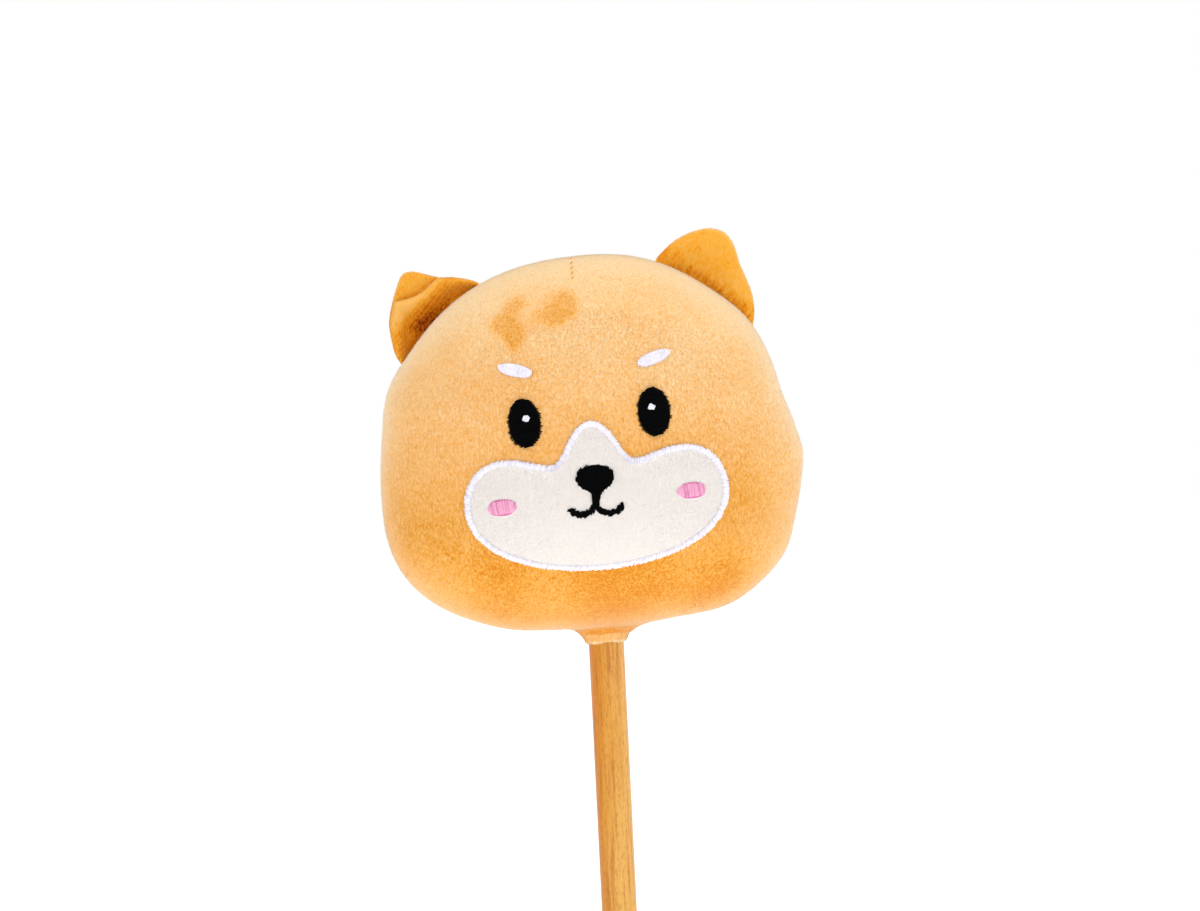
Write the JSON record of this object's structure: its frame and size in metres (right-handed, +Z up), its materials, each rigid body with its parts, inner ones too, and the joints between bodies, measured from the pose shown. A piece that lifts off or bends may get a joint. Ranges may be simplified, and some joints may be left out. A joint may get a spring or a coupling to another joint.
{
  "type": "plush stick puppet",
  "caption": "Stuffed plush dog head with two bendable ears on a round wooden stick, with an embroidered face and a short gathered neck.",
  "frame": {"origin": "centre of the dowel's flat lower end", "axes": "+Z up along the dowel, the face looks towards -Y, +X is on the right of someone who looks at the face"},
  "size_m": [0.1446, 0.1009, 0.3645],
  "materials": {
    "varnished_wood": "satin",
    "head_plush": "matte",
    "ear_plush": "matte",
    "cream_cloth": "matte",
    "white_satin": "satin",
    "black_satin": "satin",
    "pink_satin": "satin",
    "fibre_fill": "matte",
    "sewing_thread": "satin"
  },
  "bodies": {
    "stick": {"stick_dowel": "varnished_wood", "neck_thread": "sewing_thread"},
    "neck": {"neck_collar": "head_plush"},
    "head": {"face_panel": "head_plush", "back_panel_left": "head_plush", "back_panel_right": "head_plush", "stuffing": "fibre_fill", "dart_thread": "sewing_thread", "closing_thread": "sewing_thread", "muzzle_patch": "cream_cloth", "muzzle_border": "white_satin", "nose": "black_satin", "mouth": "black_satin", "eye_left": "black_satin", "eye_right": "black_satin", "eye_glint_left": "white_satin", "eye_glint_right": "white_satin", "brow_left": "white_satin", "brow_right": "white_satin", "cheek_left": "pink_satin", "cheek_right": "pink_satin"},
    "ear_right": {"ear_right_front": "ear_plush", "ear_right_back": "ear_plush"},
    "ear_left": {"ear_left_front": "ear_plush", "ear_left_back": "ear_plush"}
  },
  "joints": [
    {"name": "head_tilt", "type": "hinge", "parent": "stick", "child": "neck", "pos_m": [0, 0, 0.228], "axis": [0, 1, 0], "range_deg": [-5.5, 10.5], "stiffness_Nm_per_rad": 1.5},
    {"name": "head_nod", "type": "hinge", "parent": "neck", "child": "head", "pos_m": [0, 0, 0.228], "axis": [0.999, 0, 0.0436], "range_deg": [-8, 8], "stiffness_Nm_per_rad": 1.5},
    {"name": "ear_right_fold", "type": "hinge", "parent": "head", "child": "ear_right", "pos_m": [0.04383, 0, 0.3458], "axis": [0.7822, 0, -0.623], "range_deg": [-50, 65], "stiffness_Nm_per_rad": 0.01},
    {"name": "ear_left_fold", "type": "hinge", "parent": "head", "child": "ear_left", "pos_m": [-0.05393, 0, 0.34153], "axis": [0.7249, 0, 0.6888], "range_deg": [-50, 45], "stiffness_Nm_per_rad": 0.01}
  ]
}
